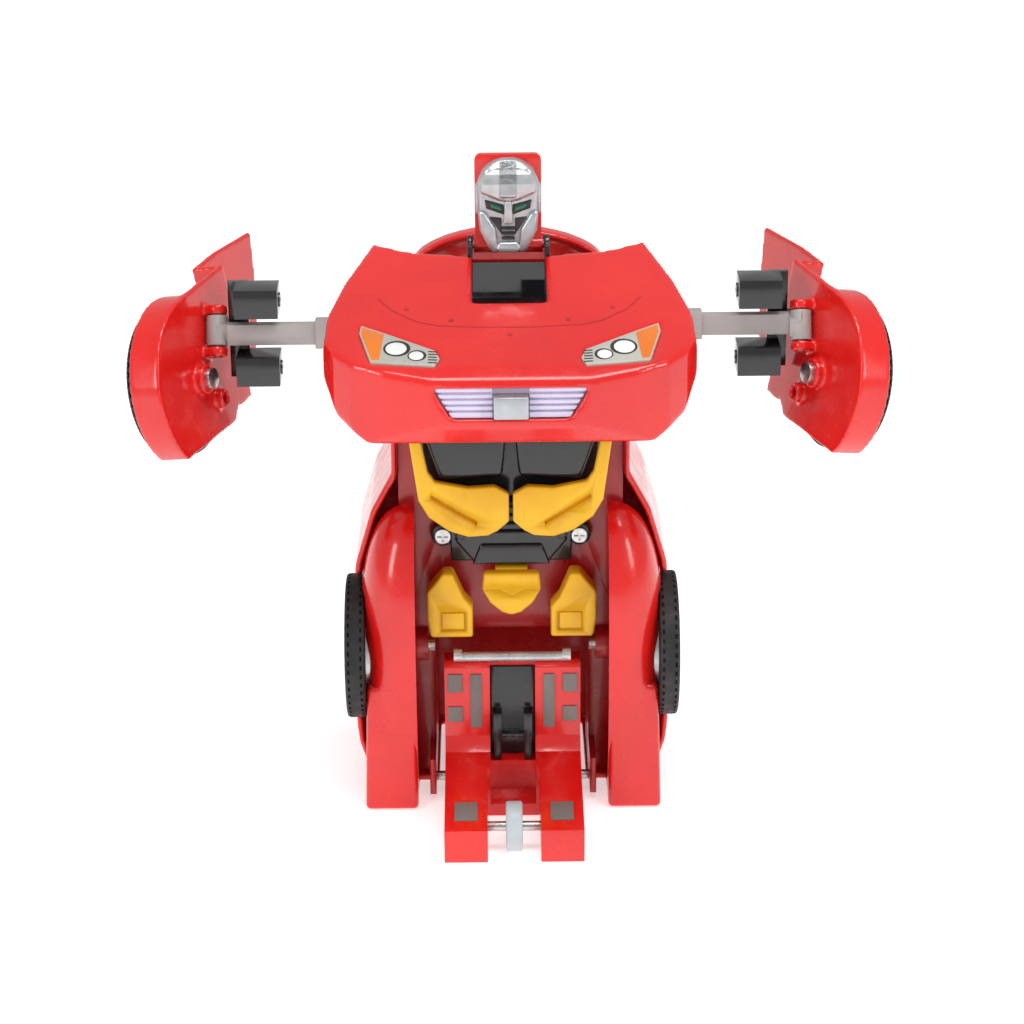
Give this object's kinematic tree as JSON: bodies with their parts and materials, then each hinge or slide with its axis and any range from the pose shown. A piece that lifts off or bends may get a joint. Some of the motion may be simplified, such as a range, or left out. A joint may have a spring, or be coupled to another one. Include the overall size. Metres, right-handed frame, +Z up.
{
  "type": "transforming robot car",
  "caption": "Toy car that unfolds into a standing robot: folding nose, flip head, telescopic arms, kick leg and free wheels.",
  "frame": {"origin": "on the floor under the middle of the standing robot", "axes": "+X to the right seen from the front, +Y toward the robot's back, +Z up"},
  "size_m": [0.2256, 0.1216, 0.1992],
  "materials": {
    "red_gloss": "gloss",
    "dark_red": "gloss",
    "yellow_satin": "satin",
    "black_gloss": "gloss",
    "black_matte": "matte",
    "rod_grey": "satin",
    "silver_paint": "satin",
    "taupe_paint": "satin",
    "pale_lilac": "gloss",
    "lamp_print": "gloss",
    "lamp_red": "gloss",
    "green_eye": "gloss",
    "window_tint": "gloss",
    "steel": "satin",
    "tyre_rubber": "matte",
    "roller_grey": "satin",
    "cell_wrap": "satin",
    "board_green": "satin"
  },
  "bodies": {
    "chassis": {"rear_shell": "red_gloss", "cabin_windows": "window_tint", "chassis_frame": "dark_red", "stub_axles": "steel", "bumper_left": "red_gloss", "bumper_right": "red_gloss", "tail_lamps": "lamp_red", "battery_box": "black_matte", "battery_cells": "cell_wrap", "battery_contacts": "steel", "battery_door": "black_gloss", "door_screws": "steel", "chest_plate_left": "yellow_satin", "chest_plate_right": "yellow_satin", "shield_plate": "yellow_satin", "hip_plate_left": "yellow_satin", "hip_plate_right": "yellow_satin", "fold_motor": "steel", "fold_gearbox": "black_matte", "circuit_board": "board_green", "speaker": "black_matte", "ankle_pins": "steel"},
    "switch": {"power_switch": "black_matte"},
    "button": {"fold_button": "yellow_satin"},
    "rear_wheel_left": {"rear_rim_left": "silver_paint", "rear_tyre_left": "tyre_rubber"},
    "rear_wheel_right": {"rear_rim_right": "silver_paint", "rear_tyre_right": "tyre_rubber"},
    "nose": {"nose_shell": "red_gloss", "nose_tray": "black_gloss", "grille": "pale_lilac", "tow_plate": "silver_paint", "headlamp_left": "lamp_print", "headlamp_right": "lamp_print", "fold_pins": "steel", "head_pin": "steel"},
    "head": {"head_plate": "red_gloss", "helmet": "silver_paint", "eyes": "green_eye"},
    "arm_outer_left": {"arm_tube_left": "rod_grey"},
    "arm_outer_right": {"arm_tube_right": "rod_grey"},
    "arm_inner_left": {"arm_bar_left": "rod_grey", "hand_left": "black_gloss"},
    "arm_inner_right": {"arm_bar_right": "rod_grey", "hand_right": "black_gloss"},
    "fender_assembly_left": {"fender_left": "red_gloss", "fender_pins_left": "steel"},
    "fender_assembly_right": {"fender_right": "red_gloss", "fender_pins_right": "steel"},
    "front_wheel_left": {"front_rim_left": "silver_paint", "front_tyre_left": "tyre_rubber"},
    "front_wheel_right": {"front_rim_right": "silver_paint", "front_tyre_right": "tyre_rubber"},
    "leg": {"leg_frame": "red_gloss", "leg_patches": "taupe_paint", "leg_bar": "silver_paint", "leg_recess": "black_gloss", "roller_axle": "steel"},
    "leg_roller": {"roller": "roller_grey"}
  },
  "joints": [
    {"name": "nose_fold", "type": "hinge", "parent": "chassis", "child": "nose", "pos_m": [0, 0.0144, 0.156], "axis": [1, 0, 0], "range_deg": [-90, 0]},
    {"name": "head_flip", "type": "hinge", "parent": "nose", "child": "head", "pos_m": [0, 0.013, 0.171], "axis": [1, 0, 0], "range_deg": [0, 105]},
    {"name": "leg_fold", "type": "hinge", "parent": "chassis", "child": "leg", "pos_m": [0, -0.0146, 0.006], "axis": [1, 0, 0], "range_deg": [-90, 0]},
    {"name": "roller_spin", "type": "hinge", "parent": "leg", "child": "leg_roller", "pos_m": [0, -0.0521, 0.0077], "axis": [1, 0, 0], "continuous": true},
    {"name": "switch_slide", "type": "slide", "parent": "chassis", "child": "switch", "axis": [1, 0, 0], "range_m": [-0.004, 0.004]},
    {"name": "button_press", "type": "slide", "parent": "chassis", "child": "button", "axis": [0, -1, 0], "range_m": [0, 0.0015], "stiffness_N_per_m": 400},
    {"name": "rear_wheel_left_spin", "type": "hinge", "parent": "chassis", "child": "rear_wheel_left", "pos_m": [-0.047, -0.0051, 0.047], "axis": [1, 0, 0], "continuous": true},
    {"name": "arm_outer_left_slide", "type": "slide", "parent": "nose", "child": "arm_outer_left", "axis": [1, 0, 0], "range_m": [0, 0.026]},
    {"name": "arm_inner_left_slide", "type": "slide", "parent": "arm_outer_left", "child": "arm_inner_left", "axis": [1, 0, 0], "range_m": [0, 0.026]},
    {"name": "wrist_left", "type": "hinge", "parent": "arm_inner_left", "child": "fender_assembly_left", "pos_m": [-0.088, 0.00165, 0.148], "axis": [0, -0.4472, -0.8944], "range_deg": [-22.4, 0]},
    {"name": "front_wheel_left_spin", "type": "hinge", "parent": "fender_assembly_left", "child": "front_wheel_left", "pos_m": [-0.10063, -0.00424, 0.13432], "axis": [0.9245, -0.3408, 0.1704], "continuous": true},
    {"name": "rear_wheel_right_spin", "type": "hinge", "parent": "chassis", "child": "rear_wheel_right", "pos_m": [0.047, -0.0051, 0.047], "axis": [1, 0, 0], "continuous": true},
    {"name": "arm_outer_right_slide", "type": "slide", "parent": "nose", "child": "arm_outer_right", "axis": [-1, 0, 0], "range_m": [0, 0.026]},
    {"name": "arm_inner_right_slide", "type": "slide", "parent": "arm_outer_right", "child": "arm_inner_right", "axis": [-1, 0, 0], "range_m": [0, 0.026]},
    {"name": "wrist_right", "type": "hinge", "parent": "arm_inner_right", "child": "fender_assembly_right", "pos_m": [0.088, 0.00165, 0.148], "axis": [0, 0.4472, 0.8944], "range_deg": [-22.4, 0]},
    {"name": "front_wheel_right_spin", "type": "hinge", "parent": "fender_assembly_right", "child": "front_wheel_right", "pos_m": [0.10063, -0.00424, 0.13432], "axis": [0.9245, 0.3408, -0.1704], "continuous": true}
  ],
  "couplings": [
    {"joint": "head_flip", "follows": "nose_fold", "ratio": -1.1667},
    {"joint": "leg_fold", "follows": "nose_fold", "ratio": 1},
    {"joint": "arm_outer_left_slide", "follows": "nose_fold", "m_per_rad": -0.016552},
    {"joint": "arm_inner_left_slide", "follows": "nose_fold", "m_per_rad": -0.016552},
    {"joint": "wrist_left", "follows": "nose_fold", "ratio": 0.24889},
    {"joint": "arm_outer_right_slide", "follows": "nose_fold", "m_per_rad": -0.016552},
    {"joint": "arm_inner_right_slide", "follows": "nose_fold", "m_per_rad": -0.016552},
    {"joint": "wrist_right", "follows": "nose_fold", "ratio": 0.24889}
  ]
}
